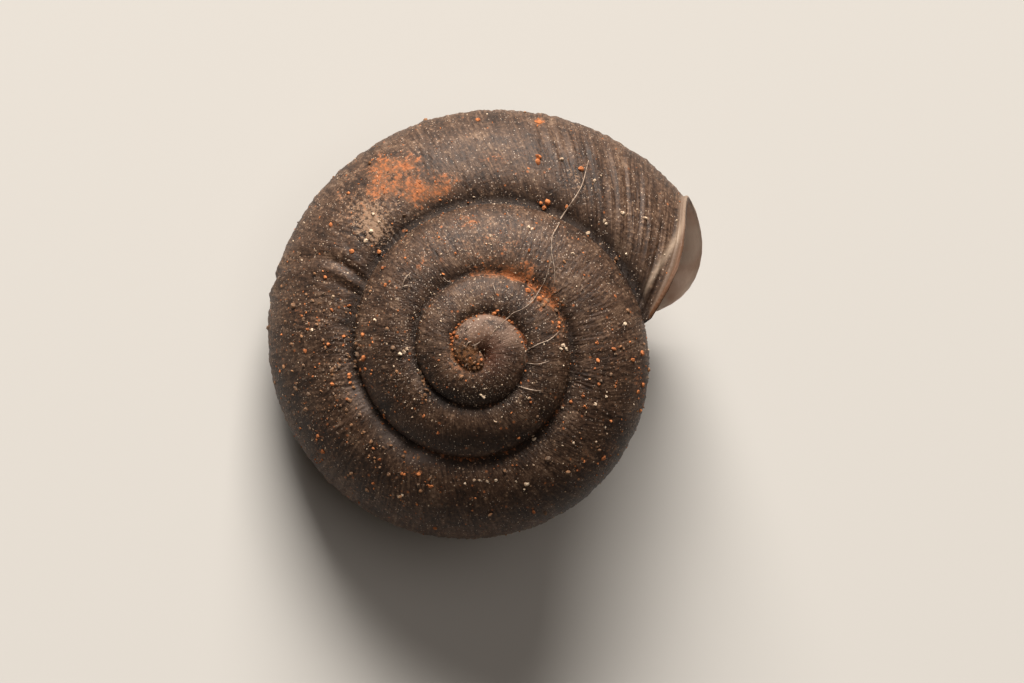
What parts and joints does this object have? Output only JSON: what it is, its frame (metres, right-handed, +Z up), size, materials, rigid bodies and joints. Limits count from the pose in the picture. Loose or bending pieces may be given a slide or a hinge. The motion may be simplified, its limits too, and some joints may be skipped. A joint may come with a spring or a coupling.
{
  "type": "land snail shell",
  "caption": "Empty coiled land snail shell with low rounded whorls, a deep suture and an oblique turned-out mouth, lying on its base.",
  "frame": {"origin": "centre of the bounding box in plan, on the surface that the shell lies on", "axes": "+Z up from that surface; +X towards the side where the mouth is; the coiling axis leans about 20 degrees from +Z, away from the mouth"},
  "size_m": [0.0178, 0.0168, 0.0099],
  "materials": {
    "shell": "matt dark brown outer skin with fine growth ribs, dusted with rust-coloured soil; paler lip"
  },
  "bodies": {
    "root": {"shell": "shell"}
  },
  "joints": []
}
